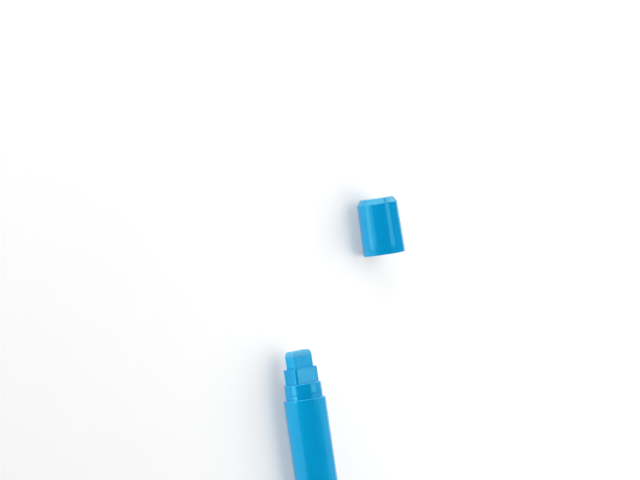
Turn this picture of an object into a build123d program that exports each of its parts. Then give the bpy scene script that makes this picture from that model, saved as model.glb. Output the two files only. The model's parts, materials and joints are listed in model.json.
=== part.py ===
"""Liquid chalk marker with a block felt nib, a press-to-flow valve and a pull-off cap.

The marker lies on its side along +X with the nib forward and the broad faces of the
nib level. Its cap is off and lies parallel to it, ahead and to the side. The origin is
the centre of the flat tail face. Sizes are in millimetres.
"""

import os
from math import hypot

from build123d import *

os.makedirs("parts", exist_ok=True)

# Felt nib
nib_width = 15.5
nib_depth = 8.5
nib_reach = 11.0
nib_shank = 15.9
nib_round = 1.2
nib_travel = 3.0
nib_stop_gap = 0.4

# Nib holder, a rectangular socket on a round spigot
nib_clearance = 0.1
holder_side_wall = 1.85
holder_face_wall = 1.5
holder_height = 9.7
holder_corner = 1.8
holder_rim_round = 0.55
spigot_wall = 1.0
spigot_lead = 0.4

# Collar, the round neck that the cap goes over, and its plug in the barrel
press_clearance = 0.05
collar_wall = 1.45
collar_flare = 0.15
collar_draft = 0.18
collar_height = 9.7
collar_rim_round = 0.7
bead_height = 3.2
bead_half_width = 0.55
bead_rise = 0.15
septum_thickness = 2.2
septum_hole_radius = 6.0
plug_lead = 0.4

# Barrel and tail plug
barrel_length = 108.0
barrel_wall = 1.525
barrel_step = 0.5
shoulder_round = 0.6
tail_flange = 2.0
tail_inset = 0.15
tail_round = 0.8
tail_spigot_length = 8.0
tail_spigot_wall = 1.6
tail_spigot_gap = 0.2
tail_rib_radius = 0.5

# Valve cartridge
stem_head_radius = 4.2
stem_head_thickness = 1.6
stem_radius = 2.0
stem_flange_radius = 4.8
stem_flange_thickness = 1.2
guide_pin_radius = 1.8
guide_pin_lead = 0.75
washer_radius = 5.0
washer_thickness = 1.0
seat_hole_radius = 3.3
seat_wall = 1.6
housing_wall = 1.4
housing_bore_radius = 6.6
gasket_thickness = 0.8
gasket_width = 2.9
retainer_flange = 1.5
retainer_tab_height = 1.5
retainer_tab_wall = 0.9
window_width = 5.0
window_depth = 2.6
window_count = 4
spring_length = 7.8
spring_wire = 0.7
spring_radius = 3.6
spring_turns = 5

# Seal ring on the collar's plug
o_ring_wire = 1.6
o_ring_offset = 4.0
o_ring_side_gap = 0.2
o_ring_squeeze_gap = 0.04

# Steel mixing balls
ball_diameter = 7.0
ball_count = 2
ball_gap = 0.2
ball_rest_gap = 0.05
ball_tail_distance = 30.0

# Cap and its liner, and where the cap lies, counted from its seat on the marker
cap_ahead = 79.3
cap_aside = 85.25
cap_inset = 0.05
cap_draft = 0.55
cap_fit = 0.15
cap_skirt_height = 4.4
cap_bevel_width = 2.2
cap_bevel_height = 3.4
cap_bevel_round = 0.6
cap_rim_round = 0.25
cap_top_wall = 1.5
nib_headroom = 2.8
liner_wall = 0.55
liner_lap = 1.6
liner_clearance = 0.1

# Stations along the axis, from the tail forward
shoulder_x = tail_flange + barrel_length
collar_top_x = shoulder_x + collar_height
holder_top_x = collar_top_x + holder_height
nib_tip_x = holder_top_x + nib_reach
nib_base_x = holder_top_x - nib_shank
stem_head_x = nib_base_x - stem_head_thickness
septum_top_x = nib_base_x - nib_travel - nib_stop_gap
septum_x = septum_top_x - septum_thickness
housing_top_x = septum_x - gasket_thickness
seat_x = housing_top_x - seat_wall
washer_x = seat_x - washer_thickness
stem_flange_x = washer_x - stem_flange_thickness
retainer_top_x = stem_flange_x - spring_length
plug_end_x = retainer_top_x - retainer_flange
o_ring_x = plug_end_x + o_ring_offset
cap_mouth_x = shoulder_x + cap_ahead

# Radii, from the felt outwards
channel_width = nib_width + 2 * nib_clearance
channel_depth = nib_depth + 2 * nib_clearance
spigot_radius = hypot(channel_width, channel_depth) / 2 + spigot_wall
collar_bore_radius = spigot_radius + press_clearance
collar_top_radius = collar_bore_radius + collar_wall
collar_waist_radius = collar_top_radius + collar_draft
collar_base_radius = collar_top_radius + collar_flare
bead_radius = collar_base_radius + bead_rise
barrel_bore_radius = collar_base_radius + press_clearance
reservoir_radius = barrel_bore_radius - barrel_step
barrel_radius = barrel_bore_radius + barrel_wall
housing_radius = housing_bore_radius + housing_wall
housing_seat_radius = housing_radius + press_clearance


with BuildPart() as nib:
    with BuildSketch(Plane.YZ.offset(nib_base_x)):
        Rectangle(nib_width, nib_depth)
    extrude(amount=nib_tip_x - nib_base_x)
    lengthwise_edges = nib.edges().filter_by(Axis.X)
    tip_edges = nib.faces().sort_by(Axis.X)[-1].edges()
    fillet(lengthwise_edges + tip_edges, radius=nib_round)
nib.part.label = "nib"
export_step(nib.part, "parts/nib.step")


with BuildPart() as nib_holder:
    with BuildSketch(Plane.YZ.offset(collar_top_x)):
        RectangleRounded(
            channel_width + 2 * holder_side_wall,
            channel_depth + 2 * holder_face_wall,
            holder_corner,
        )
    extrude(amount=holder_height)
    fillet(nib_holder.faces().sort_by(Axis.X)[-1].edges(), radius=holder_rim_round)
    with BuildSketch(Plane.YZ.offset(septum_top_x)):
        Circle(spigot_radius)
    extrude(amount=collar_top_x - septum_top_x)
    chamfer(nib_holder.edges().group_by(Axis.X)[0], length=spigot_lead)
    with BuildSketch(Plane.YZ.offset(septum_top_x)):
        RectangleRounded(channel_width, channel_depth, nib_round)
    extrude(amount=holder_top_x - septum_top_x, mode=Mode.SUBTRACT)
nib_holder.part.label = "nib_holder"
export_step(nib_holder.part, "parts/nib_holder.step")


# The neck narrows above the bead; the plug below the shoulder takes the seal ring
bead_x = shoulder_x + bead_height
groove_radius = barrel_bore_radius - o_ring_squeeze_gap - o_ring_wire - press_clearance
groove_half_width = o_ring_wire / 2 + o_ring_side_gap
with BuildPart() as collar:
    with BuildSketch(Plane.XZ):
        with BuildLine():
            Polyline(
                (bead_x - bead_half_width, collar_base_radius),
                (o_ring_x + groove_half_width, collar_base_radius),
                (o_ring_x + groove_half_width, groove_radius),
                (o_ring_x - groove_half_width, groove_radius),
                (o_ring_x - groove_half_width, collar_base_radius),
                (plug_end_x + plug_lead, collar_base_radius),
                (plug_end_x, collar_base_radius - plug_lead),
                (plug_end_x, housing_seat_radius),
                (septum_x, housing_seat_radius),
                (septum_x, septum_hole_radius),
                (septum_top_x, septum_hole_radius),
                (septum_top_x, collar_bore_radius),
                (collar_top_x, collar_bore_radius),
                (collar_top_x, collar_top_radius),
                (bead_x + bead_half_width, collar_waist_radius),
            )
            ThreePointArc(
                (bead_x + bead_half_width, collar_waist_radius),
                (bead_x, bead_radius),
                (bead_x - bead_half_width, collar_base_radius),
            )
        make_face()
    revolve(axis=Axis.X)
    rim_edges = collar.faces().sort_by(Axis.X)[-1].edges()
    fillet(rim_edges.sort_by(SortBy.RADIUS)[-1], radius=collar_rim_round)
collar.part.label = "collar"
export_step(collar.part, "parts/collar.step")


with BuildPart() as collar_o_ring:
    with BuildSketch(Plane.XZ):
        with Locations((o_ring_x, barrel_bore_radius - o_ring_squeeze_gap - o_ring_wire / 2)):
            Circle(o_ring_wire / 2)
    revolve(axis=Axis.X)
collar_o_ring.part.label = "collar_o_ring"
export_step(collar_o_ring.part, "parts/collar_o_ring.step")


# A step in the bore stops the collar's plug; the front face is the cap's seat
with BuildPart() as barrel:
    with BuildSketch(Plane.XZ):
        with BuildLine():
            Polyline(
                (tail_flange, reservoir_radius),
                (tail_flange, barrel_radius),
                (shoulder_x, barrel_radius),
                (shoulder_x, barrel_bore_radius),
                (plug_end_x, barrel_bore_radius),
                (plug_end_x, reservoir_radius),
                close=True,
            )
        make_face()
    revolve(axis=Axis.X)
    seat_edges = barrel.faces().sort_by(Axis.X)[-1].edges()
    fillet(seat_edges.sort_by(SortBy.RADIUS)[-1], radius=shoulder_round)
barrel.part.label = "barrel"
export_step(barrel.part, "parts/barrel.step")


tail_spigot_radius = reservoir_radius - tail_spigot_gap
tail_rib_crest = reservoir_radius - press_clearance
tail_spigot_end_x = tail_flange + tail_spigot_length
rib_centre_radius = tail_rib_crest - tail_rib_radius
with BuildPart() as tail_plug:
    with BuildSketch(Plane.XZ):
        with BuildLine():
            Polyline(
                (0, 0),
                (0, barrel_radius - tail_inset),
                (tail_flange, barrel_radius - tail_inset),
                (tail_flange, tail_spigot_radius),
                (tail_spigot_end_x, tail_spigot_radius),
                (tail_spigot_end_x, tail_spigot_radius - tail_spigot_wall),
                (tail_flange, tail_spigot_radius - tail_spigot_wall),
                (tail_flange, 0),
                close=True,
            )
        make_face()
        with Locations(
            (tail_flange + tail_spigot_length / 3, rib_centre_radius),
            (tail_flange + 2 * tail_spigot_length / 3, rib_centre_radius),
        ):
            Circle(tail_rib_radius)
    revolve(axis=Axis.X)
    tail_edges = tail_plug.faces().sort_by(Axis.X)[0].edges()
    fillet(tail_edges, radius=tail_round)
tail_plug.part.label = "tail_plug"
export_step(tail_plug.part, "parts/tail_plug.step")


# Cup with the valve seat in its floor, pressed up into the collar's plug
with BuildPart() as valve_housing:
    with BuildSketch(Plane.XZ):
        with BuildLine():
            Polyline(
                (housing_top_x, seat_hole_radius),
                (housing_top_x, housing_radius),
                (retainer_top_x, housing_radius),
                (retainer_top_x, housing_bore_radius),
                (seat_x, housing_bore_radius),
                (seat_x, seat_hole_radius),
                close=True,
            )
        make_face()
    revolve(axis=Axis.X)
valve_housing.part.label = "valve_housing"
export_step(valve_housing.part, "parts/valve_housing.step")


with BuildPart() as valve_gasket:
    with BuildSketch(Plane.YZ.offset(housing_top_x)):
        Circle(housing_radius)
        Circle(housing_radius - gasket_width, mode=Mode.SUBTRACT)
    extrude(amount=gasket_thickness)
valve_gasket.part.label = "valve_gasket"
export_step(valve_gasket.part, "parts/valve_gasket.step")


# The nib pushes the head; the flange lifts the washer off the seat
guide_pin_end_x = retainer_top_x - guide_pin_lead
with BuildPart() as valve_stem:
    with BuildSketch(Plane.XZ):
        with BuildLine():
            Polyline(
                (guide_pin_end_x, 0),
                (guide_pin_end_x, guide_pin_radius),
                (stem_flange_x, guide_pin_radius),
                (stem_flange_x, stem_flange_radius),
                (washer_x, stem_flange_radius),
                (washer_x, stem_radius),
                (stem_head_x, stem_radius),
                (stem_head_x, stem_head_radius),
                (nib_base_x, stem_head_radius),
                (nib_base_x, 0),
                close=True,
            )
        make_face()
    revolve(axis=Axis.X)
valve_stem.part.label = "valve_stem"
export_step(valve_stem.part, "parts/valve_stem.step")


with BuildPart() as valve_washer:
    with BuildSketch(Plane.YZ.offset(washer_x)):
        Circle(washer_radius)
        Circle(stem_radius + press_clearance, mode=Mode.SUBTRACT)
    extrude(amount=washer_thickness)
valve_washer.part.label = "valve_washer"
export_step(valve_washer.part, "parts/valve_washer.step")


# Slotted floor of the valve: four windows let the ink in and leave four snap tabs
window_radius = housing_radius - window_depth / 2 - retainer_tab_wall
with BuildPart() as valve_retainer:
    with BuildSketch(Plane.YZ.offset(plug_end_x)):
        Circle(housing_radius)
    extrude(amount=retainer_flange)
    with BuildSketch(Plane.YZ.offset(retainer_top_x)):
        Circle(housing_bore_radius - press_clearance)
        Circle(housing_bore_radius - press_clearance - retainer_tab_wall, mode=Mode.SUBTRACT)
    extrude(amount=retainer_tab_height)
    with BuildSketch(Plane.YZ.offset(plug_end_x)):
        Circle(guide_pin_radius + nib_clearance)
        with PolarLocations(window_radius, window_count):
            Rectangle(window_depth, window_width)
    extrude(amount=retainer_flange + retainer_tab_height, mode=Mode.SUBTRACT)
valve_retainer.part.label = "valve_retainer"
export_step(valve_retainer.part, "parts/valve_retainer.step")


spring_rise = spring_length - spring_wire - 2 * press_clearance
spring_start_x = retainer_top_x + spring_wire / 2 + press_clearance
with BuildPart() as valve_spring:
    with BuildLine():
        coil = Helix(
            pitch=spring_rise / spring_turns,
            height=spring_rise,
            radius=spring_radius,
            center=(spring_start_x, 0, 0),
            direction=(1, 0, 0),
        )
    with BuildSketch(Plane(origin=coil @ 0, z_dir=coil % 0)):
        Circle(spring_wire / 2)
    sweep(path=coil, is_frenet=True)
valve_spring.part.label = "valve_spring"
export_step(valve_spring.part, "parts/valve_spring.step")


# The balls lie in the bottom of the barrel, one behind the other
ball_z = ball_diameter / 2 + ball_rest_gap - reservoir_radius
with BuildPart() as mixing_balls:
    for ball in range(ball_count):
        ball_x = ball_tail_distance + ball * (ball_diameter + ball_gap)
        with Locations((ball_x, 0, ball_z)):
            Sphere(ball_diameter / 2)
mixing_balls.part.label = "mixing_balls"
export_step(mixing_balls.part, "parts/mixing_balls.step")


# Cap heights are counted from its mouth, which seats on the barrel's shoulder. Being a
# little narrower than the barrel, the cap lies lower by the inset on the same surface
liner_top = collar_height + holder_height + nib_reach + nib_headroom
shell_ceiling = liner_top + liner_wall + press_clearance
cap_length = shell_ceiling + cap_top_wall
cap_mouth_radius = barrel_radius - cap_inset
cap_shoulder_radius = cap_mouth_radius - cap_draft
cap_bevel_start = cap_length - cap_bevel_height
skirt_bore_radius = bead_radius + cap_fit
liner_mouth = collar_height - liner_lap
collar_slope = collar_draft / (collar_height - bead_height)
liner_bore_radius = collar_top_radius + collar_slope * liner_lap + liner_clearance
shell_bore_radius = liner_bore_radius + liner_wall + press_clearance
bore_draft = cap_draft * (cap_bevel_start - liner_mouth) / (cap_bevel_start - cap_skirt_height)
shell_inner_bevel = cap_bevel_start - cap_top_wall / 2
bevel_drop = cap_bevel_width * (shell_ceiling - shell_inner_bevel) / cap_bevel_height
cap_mouth = (cap_mouth_x, -cap_aside, -cap_inset)
cap_plane = Plane(cap_mouth, x_dir=(1, 0, 0), z_dir=(0, -1, 0))
cap_axis = Axis(cap_mouth, (1, 0, 0))
with BuildPart() as cap_shell:
    with BuildSketch(cap_plane):
        with BuildLine():
            Polyline(
                (0, skirt_bore_radius),
                (0, cap_mouth_radius),
                (cap_skirt_height, cap_mouth_radius),
                (cap_bevel_start, cap_shoulder_radius),
                (cap_length, cap_shoulder_radius - cap_bevel_width),
                (cap_length, 0),
                (shell_ceiling, 0),
                (shell_ceiling, shell_bore_radius - bore_draft - bevel_drop),
                (shell_inner_bevel, shell_bore_radius - bore_draft),
                (liner_mouth, shell_bore_radius),
                (cap_skirt_height, skirt_bore_radius),
                close=True,
            )
        make_face()
    revolve(axis=cap_axis)
    top_edge = cap_shell.faces().sort_by(Axis.X)[-1].edges()
    outer_edges = cap_shell.edges().filter_by(GeomType.CIRCLE)
    bevel_edge = outer_edges.filter_by_position(
        Axis.X, cap_mouth_x + cap_bevel_start, cap_mouth_x + cap_bevel_start
    )
    fillet(top_edge + bevel_edge, radius=cap_bevel_round)
    mouth_edges = cap_shell.faces().sort_by(Axis.X)[0].edges()
    fillet(mouth_edges, radius=cap_rim_round)
cap_shell.part.label = "cap_shell"
export_step(cap_shell.part, "parts/cap_shell.step")


liner_bevel = shell_inner_bevel - liner_wall
liner_bevel_radius = shell_bore_radius - bore_draft - press_clearance
liner_roof_radius = liner_bevel_radius - bevel_drop
with BuildPart() as cap_liner:
    with BuildSketch(cap_plane):
        with BuildLine():
            Polyline(
                (liner_mouth, liner_bore_radius),
                (liner_mouth, liner_bore_radius + liner_wall),
                (liner_bevel, liner_bevel_radius),
                (liner_top + liner_wall, liner_roof_radius),
                (liner_top + liner_wall, 0),
                (liner_top, 0),
                (liner_top, liner_roof_radius - liner_wall),
                (liner_bevel, liner_bevel_radius - liner_wall),
                close=True,
            )
        make_face()
    revolve(axis=cap_axis)
cap_liner.part.label = "cap_liner"
export_step(cap_liner.part, "parts/cap_liner.step")
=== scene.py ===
"""Looks of the liquid chalk marker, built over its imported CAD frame. Sizes are in metres."""

import json
from math import cos, pi, radians, sin, tan

import bmesh
import bpy
from mathutils import Matrix, Vector, noise


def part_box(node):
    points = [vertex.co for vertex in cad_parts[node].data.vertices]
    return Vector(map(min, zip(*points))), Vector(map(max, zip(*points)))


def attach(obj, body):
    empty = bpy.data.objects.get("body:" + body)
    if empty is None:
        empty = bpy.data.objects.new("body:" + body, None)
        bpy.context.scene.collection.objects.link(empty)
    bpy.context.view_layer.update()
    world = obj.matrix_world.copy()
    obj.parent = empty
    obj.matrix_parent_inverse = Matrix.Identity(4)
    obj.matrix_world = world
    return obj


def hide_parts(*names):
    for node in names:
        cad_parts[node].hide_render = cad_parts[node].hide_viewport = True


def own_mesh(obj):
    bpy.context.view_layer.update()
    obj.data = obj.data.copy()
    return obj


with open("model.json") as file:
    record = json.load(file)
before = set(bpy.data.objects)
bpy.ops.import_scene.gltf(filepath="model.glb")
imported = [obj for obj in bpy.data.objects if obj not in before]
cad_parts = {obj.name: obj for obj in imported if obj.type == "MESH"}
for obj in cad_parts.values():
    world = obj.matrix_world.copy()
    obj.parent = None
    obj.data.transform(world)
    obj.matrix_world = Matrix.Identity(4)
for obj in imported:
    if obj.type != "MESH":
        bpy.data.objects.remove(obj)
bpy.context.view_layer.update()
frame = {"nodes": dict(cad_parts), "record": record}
nodes = frame["nodes"]

MM = 0.001
WHITE = (1, 1, 1, 1)

# Places taken from the frame
barrel_low, barrel_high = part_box("barrel")
shoulder = Vector((barrel_high.x, 0, 0))
floor_z = barrel_low.z
nib_low, nib_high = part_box("nib")
holder_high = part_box("nib_holder")[1]
cap_low, cap_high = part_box("cap_shell")
marker_y = 0
cap_y = (cap_low.y + cap_high.y) / 2

# Camera: the photograph's frame, its scale, and where the barrel's shoulder falls in it
IMAGE_WIDTH, IMAGE_HEIGHT = 640, 480
PIXELS_PER_METRE = 1609
SHOULDER_PIXEL = (304.55, 398.6)
CAMERA_ELEVATION = radians(47)
CAMERA_TIP = radians(2.5)
MARKER_LEAN = radians(8.3)
CAMERA_LENS = 900
CAMERA_SENSOR = 36
CAMERA_CLIP_END = 100

# Floor and room
STAGE_MIDDLE = (0.14, -0.03, 0)
FLOOR_REACH = 8
FLOOR_MOTTLE = 40 * MM
FLOOR_GREYS = ((0.69,) * 3, (0.71,) * 3)
FLOOR_GLOW = 0.29
ROOM_LIGHT = 0.06
SEEN_BACKGROUND = 1.0
CARD_LIFT = 0.5 * MM
STRIP_DISTANCE = 0.3

# Colours, linear
BODY_BLUE = (0.0012, 0.328, 0.655)
NECK_BLUE = (0.0011, 0.290, 0.594)
CAP_BLUE = (0.0011, 0.284, 0.580)
# Paler blue painted on the cap's bevel as a painted highlight
BEVEL_HIGHLIGHT_BLUE = (0.035, 0.29, 0.53)
FELT_BLUE = (0.006, 0.363, 0.71)
# Paler felt at the nib's tip: dried felt, and a painted highlight of the light on its rounded tip
DRY_AND_LIT_FELT = (0.105, 0.39, 0.60)
SHEEN_BLUE = (0.55, 0.85, 1.0, 1.0)
SPECULAR_TINT = (0.33, 1.0, 0.95, 1.0)
RUBBER_BLACKS = ((0.012,) * 3, (0.028,) * 3)
STEEL_GREYS = ((0.52, 0.52, 0.53), (0.66, 0.66, 0.67))
ACETAL_WHITE = (0.82, 0.82, 0.79)
POLYETHYLENE_WHITE = (0.78, 0.81, 0.83)

# Blue plastic
PLASTIC_IOR = 1.68
PIGMENT_CLOUD = 14 * MM
PIGMENT_SHARES = (0.965, 1.035)
SMUDGE = 5 * MM
SMUDGE_SHARES = (0.85, 1.2)
LONG_SCRATCH = 0.25 * MM
LONG_SCRATCH_STRETCH = (0.04, 1, 1)
LONG_SCRATCH_TURN = (0.1, 0.2, 0.35)
LONG_SCRATCH_DULLING = 0.06
CROSS_SCRATCH = 0.3 * MM
CROSS_SCRATCH_STRETCH = (1, 0.05, 0.05)
CROSS_SCRATCH_DULLING = 0.04
ORANGE_PEEL = 1.3 * MM
ORANGE_PEEL_STRENGTH = 0.6
BEVEL_SAMPLES = 8

# Painted highlight at the cap's bevel: a paler stretch that stands for the light the bevel catches
CAP_BEVEL = 3.4 * MM
HIGHLIGHT_BORDER = 0.3 * MM
HIGHLIGHT_PATCH = 1.6 * MM
HIGHLIGHT_SHARES = (0.75, 1)

# Felt
STRAND = 0.22 * MM
STRAND_STRETCH = (0.25, 1, 1)
CROSSED_STRAND = 0.3 * MM
CROSSED_STRETCH = (1, 0.3, 0.6)
CROSSED_TURN = (0.4, 0.2, 0.9)
STRAND_DETAIL = 4
STRAND_ROUGHNESS = 0.65
FIBRE_DEPTH = 0.06 * MM
WET_PATCH = 3.5 * MM
WET_SHARES = (0.72, 1.16)
# The paler tip: dried felt and a painted highlight of the light on its rounded tip
DRY_AND_LIT_PATCH = 1.2 * MM
DRY_AND_LIT_SHARE = 0.75
DRY_AND_LIT_FROM, DRY_AND_LIT_FULL = 4.2 * MM, 2.4 * MM

# Rubber, pale plastics and steel
RUBBER_BLOOM = 2 * MM
RUBBER_ROUGHNESS = (0.5, 0.7)
RUBBER_GRAIN = 0.15 * MM
RUBBER_GRAIN_DEPTH = 0.01 * MM
MILKY_DEPTH = 1.2 * MM
FLOW_CLOUD = 6 * MM
FLOW_SHADE = 0.94
FLOW_DULLING = 1.25
MOULDED_SKIN = 0.4 * MM
MOULDED_SKIN_DEPTH = 0.008 * MM
DRAWN_LINE = 0.12 * MM
DRAWN_LINE_STRETCH = (0.1, 1, 1)
DRAWN_LINE_DEPTH = 0.003 * MM
STEEL_ROUGHNESS = (0.16, 0.3)


def add_node(tree, kind, inputs=None, **settings):
    """Adds a shader node. Inputs are plain values, or sockets to link."""
    made = tree.nodes.new("ShaderNode" + kind)
    for key, value in settings.items():
        setattr(made, key, value)
    for key, value in (inputs or {}).items():
        if isinstance(value, bpy.types.NodeSocket):
            tree.links.new(value, made.inputs[key])
        else:
            made.inputs[key].default_value = value
    return made


def start_material(name, **constants):
    """A new Principled material, with its constant sockets set by name."""
    material = bpy.data.materials.new(name)
    material.use_nodes = True
    tree = material.node_tree
    shader = tree.nodes["Principled BSDF"]
    for key, value in constants.items():
        shader.inputs[key.replace("_", " ")].default_value = value
    return material, tree, shader


def object_place(tree):
    return add_node(tree, "TexCoord").outputs["Object"]


def along_x(tree, place):
    return add_node(tree, "SeparateXYZ", {"Vector": place}).outputs["X"]


def noise_at(tree, place, size, detail=3.0, roughness=0.55, distortion=0.0):
    """Noise whose features are about `size` metres across."""
    made = add_node(
        tree,
        "TexNoise",
        {
            "Vector": place,
            "Scale": 1 / size,
            "Detail": detail,
            "Roughness": roughness,
            "Distortion": distortion,
        },
    )
    return made.outputs["Fac"]


def spread(tree, value, onto=(0, 1), between=(0.3, 0.7)):
    """Maps the values between two bounds onto another range, and clamps the rest."""
    made = add_node(
        tree,
        "MapRange",
        {
            "Value": value,
            "From Min": between[0],
            "From Max": between[1],
            "To Min": onto[0],
            "To Max": onto[1],
        },
    )
    return made.outputs["Result"]


def stretched(tree, place, scale, turn=(0.0, 0.0, 0.0)):
    made = add_node(tree, "Mapping", {"Vector": place, "Scale": scale, "Rotation": turn})
    return made.outputs["Vector"]


def combine(tree, operation, first, second):
    return add_node(tree, "Math", {0: first, 1: second}, operation=operation).outputs[0]


def mix_colours(tree, share, first, second):
    """Mixes two colours, each a socket or a plain RGB value."""
    made = add_node(tree, "Mix", {"Factor": share}, data_type="RGBA")
    for socket, colour in ((made.inputs[6], first), (made.inputs[7], second)):
        if isinstance(colour, bpy.types.NodeSocket):
            tree.links.new(colour, socket)
        else:
            socket.default_value = (*colour, 1)
    return made.outputs[2]


def scaled(values, factor):
    return tuple(value * factor for value in values)


def shades(colour, shares):
    """A darker and a lighter shade of a colour."""
    return [scaled(colour, share) for share in shares]


def add_relief(tree, shader, height, depth, strength, **normal):
    """Bumps a surface by a texture. A Normal socket may be given to start from."""
    relief = add_node(
        tree, "Bump", {"Strength": strength, "Distance": depth, "Height": height, **normal}
    )
    tree.links.new(relief.outputs["Normal"], shader.inputs["Normal"])


def painted_bevel_highlight(tree, place, tone, start):
    """Paints a highlight: pales a colour in patches beyond a start along X, standing for the light
    the cap's bevel catches.
    """
    border = (start - HIGHLIGHT_BORDER, start + HIGHLIGHT_BORDER)
    beyond = spread(tree, along_x(tree, place), between=border)
    patches = spread(tree, noise_at(tree, place, HIGHLIGHT_PATCH), HIGHLIGHT_SHARES)
    return mix_colours(tree, combine(tree, "MULTIPLY", beyond, patches), tone, BEVEL_HIGHLIGHT_BLUE)


def scratches(tree, place):
    """Roughness that hairline scratches add, along the piece and across it."""
    along = stretched(tree, place, LONG_SCRATCH_STRETCH, LONG_SCRATCH_TURN)
    across = stretched(tree, place, CROSS_SCRATCH_STRETCH)
    long_lines = noise_at(tree, along, LONG_SCRATCH, detail=1)
    cross_lines = noise_at(tree, across, CROSS_SCRATCH, detail=1)
    return combine(
        tree,
        "ADD",
        spread(tree, long_lines, onto=(0, LONG_SCRATCH_DULLING), between=(0.66, 0.74)),
        spread(tree, cross_lines, onto=(0, CROSS_SCRATCH_DULLING), between=(0.68, 0.76)),
    )


def moulded_plastic(name, colour, roughness, peel, edge, highlight_from=None):
    """Moulded plastic: cloudy pigment, smudged gloss, hairline scratches, orange peel."""
    material, tree, shader = start_material(name, IOR=PLASTIC_IOR, Specular_Tint=SPECULAR_TINT)
    place = object_place(tree)
    clouds = spread(tree, noise_at(tree, place, PIGMENT_CLOUD))
    tone = mix_colours(tree, clouds, *shades(colour, PIGMENT_SHARES))
    # With a start given, a painted highlight pales the colour beyond it
    if highlight_from is not None:
        tone = painted_bevel_highlight(tree, place, tone, highlight_from)
    tree.links.new(tone, shader.inputs["Base Color"])

    smudges = spread(tree, noise_at(tree, place, SMUDGE), scaled(SMUDGE_SHARES, roughness))
    dulled = combine(tree, "ADD", smudges, scratches(tree, place))
    tree.links.new(dulled, shader.inputs["Roughness"])

    edges = add_node(tree, "Bevel", {"Radius": edge}, samples=BEVEL_SAMPLES).outputs["Normal"]
    dimples = noise_at(tree, place, ORANGE_PEEL, detail=2)
    add_relief(tree, shader, dimples, peel, ORANGE_PEEL_STRENGTH, Normal=edges)
    return material


def matted_fibres(tree, place):
    """Strands along the nib, crossed by others at a slant."""
    along = stretched(tree, place, STRAND_STRETCH)
    slanted = stretched(tree, place, CROSSED_STRETCH, CROSSED_TURN)
    strands = noise_at(tree, along, STRAND, STRAND_DETAIL, STRAND_ROUGHNESS, distortion=0.6)
    crossed = noise_at(
        tree, slanted, CROSSED_STRAND, STRAND_DETAIL, STRAND_ROUGHNESS, distortion=0.8
    )
    return combine(tree, "MULTIPLY", strands, crossed)


def felt(name):
    """Pressed felt soaked with ink: matted fibres, and a paler tip, partly dried felt and partly a
    painted highlight of the light its rounded tip catches.
    """
    material, tree, shader = start_material(
        name,
        Roughness=0.62,
        Sheen_Weight=0.18,
        Sheen_Roughness=0.5,
        Sheen_Tint=SHEEN_BLUE,
        Specular_Tint=SPECULAR_TINT,
    )
    place = object_place(tree)
    fibres = matted_fibres(tree, place)
    fibre_shade = spread(tree, fibres, onto=(0, 0.75), between=(0.12, 0.42))
    soaked_shade = spread(tree, noise_at(tree, place, WET_PATCH), onto=(0, 0.25))
    shade = combine(tree, "ADD", fibre_shade, soaked_shade)
    wet = mix_colours(tree, shade, *shades(FELT_BLUE, WET_SHARES))

    # Dried felt and painted highlight: the felt is paled towards its tip
    dry_and_lit_span = (nib_high.x - DRY_AND_LIT_FROM, nib_high.x - DRY_AND_LIT_FULL)
    dry_and_lit_tip = spread(tree, along_x(tree, place), onto=(0, DRY_AND_LIT_SHARE), between=dry_and_lit_span)
    patches = spread(tree, noise_at(tree, place, DRY_AND_LIT_PATCH), onto=(-0.25, 0.25))
    tone = mix_colours(tree, combine(tree, "ADD", dry_and_lit_tip, patches), wet, DRY_AND_LIT_FELT)
    tree.links.new(tone, shader.inputs["Base Color"])
    add_relief(tree, shader, fibres, FIBRE_DEPTH, strength=0.7)
    return material


def rubber(name):
    """Black seal rubber with a dusty bloom and a fine moulded grain."""
    material, tree, shader = start_material(name)
    place = object_place(tree)
    bloom = spread(tree, noise_at(tree, place, RUBBER_BLOOM))
    tone = mix_colours(tree, bloom, *RUBBER_BLACKS)
    tree.links.new(tone, shader.inputs["Base Color"])
    dulled = spread(tree, bloom, RUBBER_ROUGHNESS, between=(0, 1))
    tree.links.new(dulled, shader.inputs["Roughness"])
    grain = noise_at(tree, place, RUBBER_GRAIN, detail=2)
    add_relief(tree, shader, grain, RUBBER_GRAIN_DEPTH, strength=0.4)
    return material


def pale_plastic(name, colour, roughness, glow):
    """Unpigmented plastic: milky, with faint flow clouds and a soft moulded skin."""
    material, tree, shader = start_material(
        name,
        Subsurface_Weight=glow,
        Subsurface_Radius=(1.0, 1.0, 1.0),
        Subsurface_Scale=MILKY_DEPTH,
    )
    place = object_place(tree)
    clouds = spread(tree, noise_at(tree, place, FLOW_CLOUD))
    tone = mix_colours(tree, clouds, scaled(colour, FLOW_SHADE), colour)
    tree.links.new(tone, shader.inputs["Base Color"])
    dulled = spread(tree, clouds, (roughness, roughness * FLOW_DULLING), between=(0, 1))
    tree.links.new(dulled, shader.inputs["Roughness"])
    skin = noise_at(tree, place, MOULDED_SKIN, detail=2)
    add_relief(tree, shader, skin, MOULDED_SKIN_DEPTH, strength=0.4)
    return material


def steel(name):
    """Drawn stainless steel: fine lines and a little uneven polish."""
    material, tree, shader = start_material(name, Metallic=1.0)
    drawn = stretched(tree, object_place(tree), DRAWN_LINE_STRETCH)
    lines = noise_at(tree, drawn, DRAWN_LINE, detail=2)
    tone = mix_colours(tree, spread(tree, lines), *STEEL_GREYS)
    tree.links.new(tone, shader.inputs["Base Color"])
    tree.links.new(spread(tree, lines, STEEL_ROUGHNESS), shader.inputs["Roughness"])
    add_relief(tree, shader, lines, DRAWN_LINE_DEPTH, strength=0.3)
    return material


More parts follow.
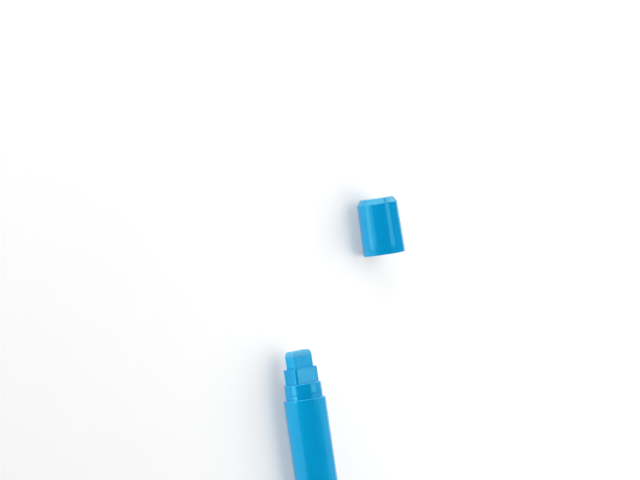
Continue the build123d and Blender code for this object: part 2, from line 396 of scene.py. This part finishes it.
FINISHES = {
    "blue_body": moulded_plastic(
        "body_plastic", BODY_BLUE, roughness=0.09, peel=0.004 * MM, edge=0.4 * MM
    ),
    "blue_neck": moulded_plastic(
        "neck_plastic", NECK_BLUE, roughness=0.075, peel=0.002 * MM, edge=0.5 * MM
    ),
    "blue_cap": moulded_plastic(
        "cap_plastic",
        CAP_BLUE,
        roughness=0.08,
        peel=0.003 * MM,
        edge=0.25 * MM,
        # The cap's bevel gets a painted highlight
        highlight_from=cap_high.x - CAP_BEVEL,
    ),
    "felt": felt("ink_felt"),
    "seal_rubber": rubber("nitrile"),
    "valve_plastic": pale_plastic("acetal", ACETAL_WHITE, roughness=0.32, glow=0.15),
    "liner_plastic": pale_plastic("polyethylene", POLYETHYLENE_WHITE, roughness=0.4, glow=0.4),
    "steel": steel("spring_steel"),
}


def dress_cad_nodes():
    """Gives every CAD node the finish of its material slot in the record."""
    for subpart in frame["record"]["subparts"]:
        cad = nodes[subpart["node"]]
        cad.data.materials.clear()
        cad.data.materials.append(FINISHES[subpart["material_slot"]])


def add_object(name, data):
    made = bpy.data.objects.new(name, data)
    bpy.context.scene.collection.objects.link(made)
    return made


def join_rings(mesh, rings):
    """Closes a row of rings of equal count into a skin with two end faces."""
    count = len(rings[0])
    for low, high in zip(rings, rings[1:]):
        for index in range(count):
            after = (index + 1) % count
            mesh.faces.new((low[index], low[after], high[after], high[index]))
    mesh.faces.new(rings[-1])
    mesh.faces.new(reversed(rings[0]))
    bmesh.ops.recalc_face_normals(mesh, faces=mesh.faces)
    mesh.normal_update()


def finish_mesh(name, mesh, finish):
    """Turns a bmesh into a smooth object with one of the finishes."""
    data = bpy.data.meshes.new(name)
    mesh.to_mesh(data)
    mesh.free()
    data.polygons.foreach_set("use_smooth", [True] * len(data.polygons))
    data.materials.append(FINISHES[finish])
    return add_object(name, data)


# Felt block
EDGE_ROUND = 0.65 * MM
TIP_TAPER = 3.4 * MM
TIP_INSET = 1.0 * MM
TIP_CROWN = 0.25 * MM
TIP_CORNER = 1.1 * MM
CORNER_LIMIT = 0.95
FELT_STEP = 0.3 * MM
TIP_STEPS = 16
CROWN_STEPS = 12
FIBRE_RELIEF = 0.035 * MM
LUMP, HAIR = 0.9 * MM, 0.35 * MM
LUMP_SHARE, HAIR_SHARE = 0.6, 0.4
RELIEF_OVERLAP = 1 * MM


def round_section(width, depth, corner, count):
    """Points of a rounded rectangle in the YZ plane, evenly spaced along its outline."""
    straight_y, straight_z = width - 2 * corner, depth - 2 * corner
    arc = corner * pi / 2
    total = 2 * (straight_y + straight_z) + 4 * arc
    runs = [
        (straight_z, Vector((width / 2, -straight_z / 2)), 0),
        (straight_y, Vector((straight_y / 2, depth / 2)), 90),
        (straight_z, Vector((-width / 2, straight_z / 2)), 180),
        (straight_y, Vector((-straight_y / 2, -depth / 2)), 270),
    ]
    points = []
    for index in range(count):
        left = total * index / count
        for length, origin, turn in runs:
            normal = Vector((cos(radians(turn)), sin(radians(turn))))
            along = Vector((-normal.y, normal.x))
            if left <= length:
                points.append(origin + along * left)
                break
            left -= length
            if left <= arc:
                centre = origin + along * length - normal * corner
                angle = radians(turn) + left / corner
                points.append(centre + corner * Vector((cos(angle), sin(angle))))
                break
            left -= arc
    return points


def felt_stations(depth):
    """Places along the nib, each with its inset and how far its corners are worn."""
    taper_x = nib_high.x - TIP_TAPER
    shank_steps = round((taper_x - nib_low.x) / FELT_STEP)
    stations = [
        (nib_low.x + (taper_x - nib_low.x) * step / shank_steps, 0, 0)
        for step in range(shank_steps + 1)
    ]
    for step in range(1, TIP_STEPS + 1):
        angle = pi / 2 * step / TIP_STEPS
        x = taper_x + (TIP_TAPER - TIP_CROWN) * sin(angle)
        stations.append((x, TIP_INSET * (1 - cos(angle)), step / TIP_STEPS))
    crown_inset = depth / 2 - TIP_INSET
    for step in range(1, CROWN_STEPS):
        share = step / CROWN_STEPS
        rise = TIP_CROWN * (1 - (1 - share) ** 2)
        x = nib_high.x - TIP_CROWN + rise
        stations.append((x, TIP_INSET + crown_inset * share, 1 - share))
    return stations


def roughen_felt(mesh):
    """Sinks the shown faces a little and unevenly, as matted fibres do."""
    shown_from = holder_high.x - RELIEF_OVERLAP
    for vert in mesh.verts:
        if vert.co.x > shown_from:
            lumps = LUMP_SHARE * noise.noise(vert.co / LUMP)
            hairs = HAIR_SHARE * noise.noise(vert.co / HAIR)
            vert.co += vert.normal * FIBRE_RELIEF * (lumps + hairs - 1)


def felt_block():
    """The nib as a dense rounded block, its faces roughened by matted fibres."""
    width, depth = nib_high.y - nib_low.y, nib_high.z - nib_low.z
    around = round(2 * (width + depth) / FELT_STEP)
    mesh = bmesh.new()
    rings = []
    for x, inset, wear in felt_stations(depth):
        section_width, section_depth = width - 2 * inset, depth - 2 * inset
        corner = min(EDGE_ROUND + TIP_CORNER * wear, section_depth / 2 * CORNER_LIMIT)
        points = round_section(section_width, section_depth, corner, around)
        rings.append([mesh.verts.new((x, point.x, point.y)) for point in points])
    join_rings(mesh, rings)
    roughen_felt(mesh)
    block = finish_mesh("felt_block", mesh, "felt")
    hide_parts("nib")
    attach(block, "nib")


# Valve spring
SPRING_WIRE = 0.7 * MM
SPRING_TURNS = 6
CLOSED_PITCH = 0.74 * MM
TURN_STEPS = 48
WIRE_SIDES = 16


def coil_rise(turn, length):
    """Height of the wire's centre after so many turns: close end turns, open middle ones."""
    open_pitch = (length - SPRING_WIRE - 2 * CLOSED_PITCH) / (SPRING_TURNS - 2)
    closed = min(turn, 1) + max(turn - (SPRING_TURNS - 1), 0)
    return closed * CLOSED_PITCH + (turn - closed) * open_pitch


def coil_spring():
    """The valve's return spring, made as a fixed coil at its length in the frame; in the marker it
    shortens as the valve opens.
    """
    low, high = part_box("valve_spring")
    length = high.x - low.x
    wire_radius = SPRING_WIRE / 2
    radius = (high.y - low.y - SPRING_WIRE) / 2
    mesh = bmesh.new()
    rings = []
    for step in range(SPRING_TURNS * TURN_STEPS + 1):
        turn = step / TURN_STEPS
        outward = Vector((0, cos(2 * pi * turn), sin(2 * pi * turn)))
        x = low.x + wire_radius + coil_rise(turn, length)
        ring = []
        for side in range(WIRE_SIDES):
            angle = 2 * pi * side / WIRE_SIDES
            reach = radius + wire_radius * cos(angle)
            place = Vector((x + wire_radius * sin(angle), 0, 0)) + outward * reach
            ring.append(mesh.verts.new(place))
        rings.append(ring)
    join_rings(mesh, rings)
    spring = finish_mesh("valve_coil", mesh, "steel")
    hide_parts("valve_spring")
    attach(spring, "marker")
    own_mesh(spring)


def aim(made, target):
    made.rotation_euler = (Vector(target) - made.location).to_track_quat("-Z", "Y").to_euler()


def add_camera():
    """Looks down at the marker's side so that its axis leans as in the photograph."""
    view = Vector(
        (
            -sin(CAMERA_TIP),
            -cos(CAMERA_TIP) * cos(CAMERA_ELEVATION),
            -cos(CAMERA_TIP) * sin(CAMERA_ELEVATION),
        )
    )
    along = Vector((1, 0, 0)) - view.x * view
    along.normalize()
    across = view.cross(along)
    up = cos(MARKER_LEAN) * along + sin(MARKER_LEAN) * across
    right = cos(MARKER_LEAN) * across - sin(MARKER_LEAN) * along
    data = bpy.data.cameras.new("camera")
    data.lens = CAMERA_LENS
    data.sensor_width = CAMERA_SENSOR
    data.clip_end = CAMERA_CLIP_END
    distance = IMAGE_WIDTH * CAMERA_LENS / (CAMERA_SENSOR * PIXELS_PER_METRE)
    right_of_shoulder = (IMAGE_WIDTH / 2 - SHOULDER_PIXEL[0]) / PIXELS_PER_METRE
    above_shoulder = (SHOULDER_PIXEL[1] - IMAGE_HEIGHT / 2) / PIXELS_PER_METRE
    centre = shoulder + right * right_of_shoulder + up * above_shoulder
    camera = add_object("camera", data)
    axes = Matrix((right, up, -view)).transposed()
    camera.matrix_world = Matrix.Translation(centre - view * distance) @ axes.to_4x4()
    bpy.context.scene.camera = camera


def area_light(name, place, size, radiance, glossy=True, diffuse=True):
    """A rectangular softbox of the given radiance that the camera doesn't see."""
    data = bpy.data.lights.new(name, "AREA")
    data.shape = "RECTANGLE"
    data.size, data.size_y = size
    data.energy = radiance * pi * size[0] * size[1]
    light = add_object(name, data)
    light.location = place
    light.visible_camera = False
    light.visible_glossy = glossy
    light.visible_diffuse = diffuse
    return light


def aimed_card(name, place, size, radiance, target=STAGE_MIDDLE, **seen):
    """A softbox that faces a target."""
    aim(area_light(name, place, size, radiance, **seen), target)


def mirrored_card(name, axis_y, angles, reach, radiance, distance=STRIP_DISTANCE, **seen):
    """A softbox mirrored in round pieces about an axis along X.

    It is seen from there between two angles, counted from +Y over the top, and in the
    stretch of X given by reach.
    """
    low, high = (radians(angle) for angle in angles)
    middle = (low + high) / 2
    shift = distance * tan(CAMERA_TIP)
    target = Vector(((reach[0] + reach[1]) / 2 - shift, axis_y, 0))
    place = target + distance * Vector((0, cos(middle), sin(middle)))
    size = (reach[1] - reach[0], 2 * distance * tan((high - low) / 2))
    aimed_card(name, place, size, radiance, target, **seen)


def floor_card(name, x_reach, y_reach, radiance, **seen):
    """A white card lying beside a piece and lighting it from below."""
    size = (x_reach[1] - x_reach[0], y_reach[1] - y_reach[0])
    place = ((x_reach[0] + x_reach[1]) / 2, (y_reach[0] + y_reach[1]) / 2, floor_z + CARD_LIFT)
    area_light(name, place, size, radiance, **seen).rotation_euler = (pi, 0, CAMERA_TIP)


def add_floor():
    """A white floor that keeps the shadows and glows a little where it is seen or mirrored."""
    data = bpy.data.meshes.new("floor")
    corners = [
        (-FLOOR_REACH, -FLOOR_REACH),
        (FLOOR_REACH, -FLOOR_REACH),
        (FLOOR_REACH, FLOOR_REACH),
        (-FLOOR_REACH, FLOOR_REACH),
    ]
    data.from_pydata([(x, y, floor_z) for x, y in corners], [], [(0, 1, 2, 3)])
    floor = add_object("floor", data)
    material, tree, shader = start_material(
        "floor_white", Roughness=0.9, Specular_IOR_Level=0.0, Emission_Color=WHITE
    )
    mottle = noise_at(tree, object_place(tree), FLOOR_MOTTLE)
    tone = mix_colours(tree, mottle, *FLOOR_GREYS)
    tree.links.new(tone, shader.inputs["Base Color"])
    ray = add_node(tree, "LightPath").outputs
    seen = combine(tree, "MAXIMUM", ray["Is Camera Ray"], ray["Is Glossy Ray"])
    glow = combine(tree, "MULTIPLY", seen, FLOOR_GLOW)
    tree.links.new(glow, shader.inputs["Emission Strength"])
    data.materials.append(material)


def add_strips():
    """Softboxes that the round pieces mirror as streaks along their length."""
    mirrored_card("neck_strip", marker_y, angles=(97, 134), reach=(0.109, 0.160), radiance=1.9)
    mirrored_card("side_strip", marker_y, angles=(137, 170), reach=(-0.05, 0.150), radiance=0.5)
    mirrored_card("barrel_strip", marker_y, angles=(121, 137), reach=(-0.05, 0.111), radiance=0.42)
    mirrored_card("cap_strip", cap_y, angles=(91, 115), reach=(0.200, 0.242), radiance=1.3)
    mirrored_card(
        "cap_low_strip",
        cap_y,
        angles=(0, 14),
        reach=(0.1965, 0.231),
        radiance=0.8,
        distance=0.15,
        diffuse=False,
    )
    mirrored_card(
        "neck_low_strip",
        marker_y,
        angles=(-2.5, 4),
        reach=(0.1105, 0.15),
        radiance=2.2,
        distance=0.26,
        diffuse=False,
    )
    mirrored_card(
        "ring_low_strip",
        marker_y,
        angles=(-9, 5),
        reach=(0.1090, 0.1118),
        radiance=3.2,
        distance=0.06,
        diffuse=False,
    )


def add_cards():
    """White cards on the floor, and two that the cap's bevel and the nib's tip face."""
    floor_card("neck_card", x_reach=(0.1045, 0.165), y_reach=(0.039, 0.26), radiance=2.0)
    floor_card(
        "left_bounce", x_reach=(-0.05, 0.165), y_reach=(0.016, 0.11), radiance=0.45, glossy=False
    )
    floor_card(
        "cap_bounce", x_reach=(0.165, 0.226), y_reach=(-0.069, 0), radiance=0.5, glossy=False
    )
    floor_card("cap_card", x_reach=(0.191, 0.228), y_reach=(-0.047, 0.082), radiance=1.3)
    floor_card("bevel_card", x_reach=(0.24, 0.6), y_reach=(-0.07, 0.3), radiance=1.3)
    aimed_card("front_card", place=(0.98, 0.3, 0.3), size=(1.3, 0.62), radiance=2.75)
    aimed_card(
        "bevel_side_card",
        place=(0.78, -0.62, 0.22),
        size=(0.95, 0.46),
        radiance=2.2,
        target=(0.22, cap_y, 0),
        diffuse=False,
    )


def add_fills():
    """Large softboxes that light the surfaces but aren't mirrored in them."""
    aimed_card("soft_top", (0.14, -0.8, 1.05), size=(2.4, 2.0), radiance=1.55, glossy=False)
    aimed_card("left_fill", (0.14, 1.1, 0.1), size=(1.8, 0.5), radiance=3.0, glossy=False)
    aimed_card("right_fill", (0.14, -1.1, 0.45), size=(1.8, 0.6), radiance=1.0, glossy=False)


def add_world():
    """A dim room whose walls the camera sees as white."""
    world = bpy.data.worlds.new("studio")
    world.use_nodes = True
    tree = world.node_tree
    tree.nodes.clear()
    room = add_node(tree, "Background", {"Color": WHITE, "Strength": ROOM_LIGHT})
    seen = add_node(tree, "Background", {"Color": WHITE, "Strength": SEEN_BACKGROUND})
    ray = add_node(tree, "LightPath").outputs
    mix = add_node(
        tree, "MixShader", {0: ray["Is Camera Ray"], 1: room.outputs[0], 2: seen.outputs[0]}
    )
    add_node(tree, "OutputWorld", {"Surface": mix.outputs[0]})
    bpy.context.scene.world = world


dress_cad_nodes()
felt_block()
coil_spring()
add_floor()
add_strips()
add_cards()
add_fills()
add_world()
add_camera()
bpy.context.scene.view_settings.view_transform = "Standard"
